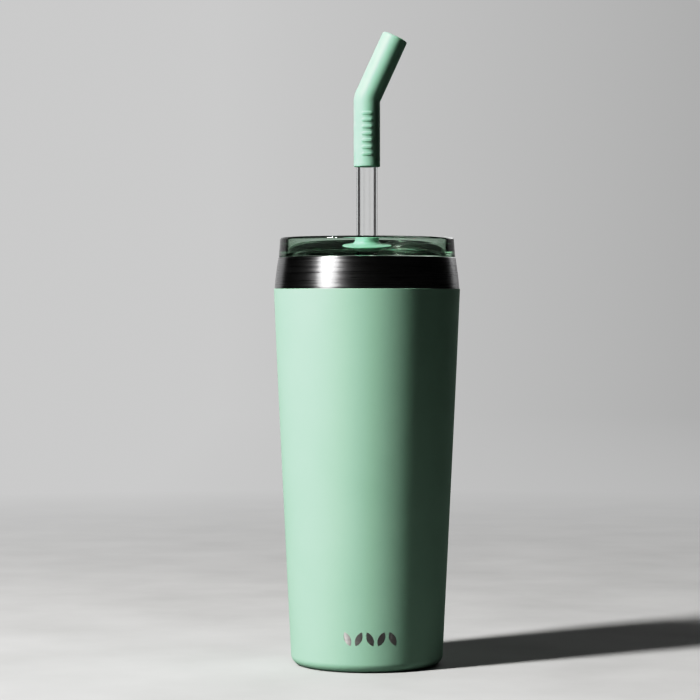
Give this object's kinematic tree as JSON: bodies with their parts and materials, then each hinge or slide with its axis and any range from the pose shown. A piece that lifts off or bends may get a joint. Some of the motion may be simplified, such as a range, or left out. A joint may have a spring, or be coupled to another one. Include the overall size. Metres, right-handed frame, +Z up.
{
  "type": "insulated tumbler with lid",
  "caption": "Double-wall vacuum tumbler with a steel collar, powder-coated wall, press-in clear lid, glass straw and angled silicone mouthpiece.",
  "frame": {"origin": "centre of the base, on the surface the tumbler stands on", "axes": "+Z up along the cup's axis, front with the etched mark and the grip ribs to -Y, the mouthpiece leans to +X"},
  "size_m": [0.0878, 0.0878, 0.2983],
  "materials": {
    "collar_steel": "brushed around the axis",
    "mint_coat": "fine matte powder coat on steel",
    "liner_steel": "satin, turned",
    "copper": "copper foil",
    "base_steel": "satin",
    "solder_glass": "dark solder glass",
    "getter": "sintered",
    "lid_plastic": "clear, tinted, polished",
    "seal_silicone": "translucent silicone",
    "stopper_silicone": "translucent silicone",
    "straw_glass": "clear, fire-polished",
    "mint_silicone": "satin silicone"
  },
  "bodies": {
    "cup": {"outer_shell": "collar_steel", "powder_coat": "mint_coat", "inner_cup": "liner_steel", "copper_foil": "copper", "outer_base": "base_steel", "base_cover": "base_steel", "port_seal": "solder_glass", "getter_clip": "base_steel", "getter_pill": "getter"},
    "seal": {"lid_seal": "seal_silicone"},
    "lid": {"lid_body": "lid_plastic"},
    "stopper": {"straw_stopper": "stopper_silicone"},
    "straw": {"glass_straw": "straw_glass"},
    "mouthpiece": {"mouthpiece": "mint_silicone"}
  },
  "joints": [
    {"name": "lid_lift", "type": "slide", "parent": "cup", "child": "seal", "axis": [0, 0, 1], "range_m": [0, 0.2]},
    {"name": "lid_turn", "type": "hinge", "parent": "seal", "child": "lid", "pos_m": [0, 0, 0.19], "axis": [0, 0, 1], "continuous": true},
    {"name": "straw_slide", "type": "slide", "parent": "lid", "child": "stopper", "axis": [0, 0, 1], "range_m": [-0.0025, 0.18]},
    {"name": "straw_turn", "type": "hinge", "parent": "stopper", "child": "straw", "pos_m": [0, 0, 0.196], "axis": [0, 0, 1], "continuous": true},
    {"name": "mouthpiece_pull", "type": "slide", "parent": "straw", "child": "mouthpiece", "axis": [0, 0, 1], "range_m": [0, 0.03]}
  ]
}
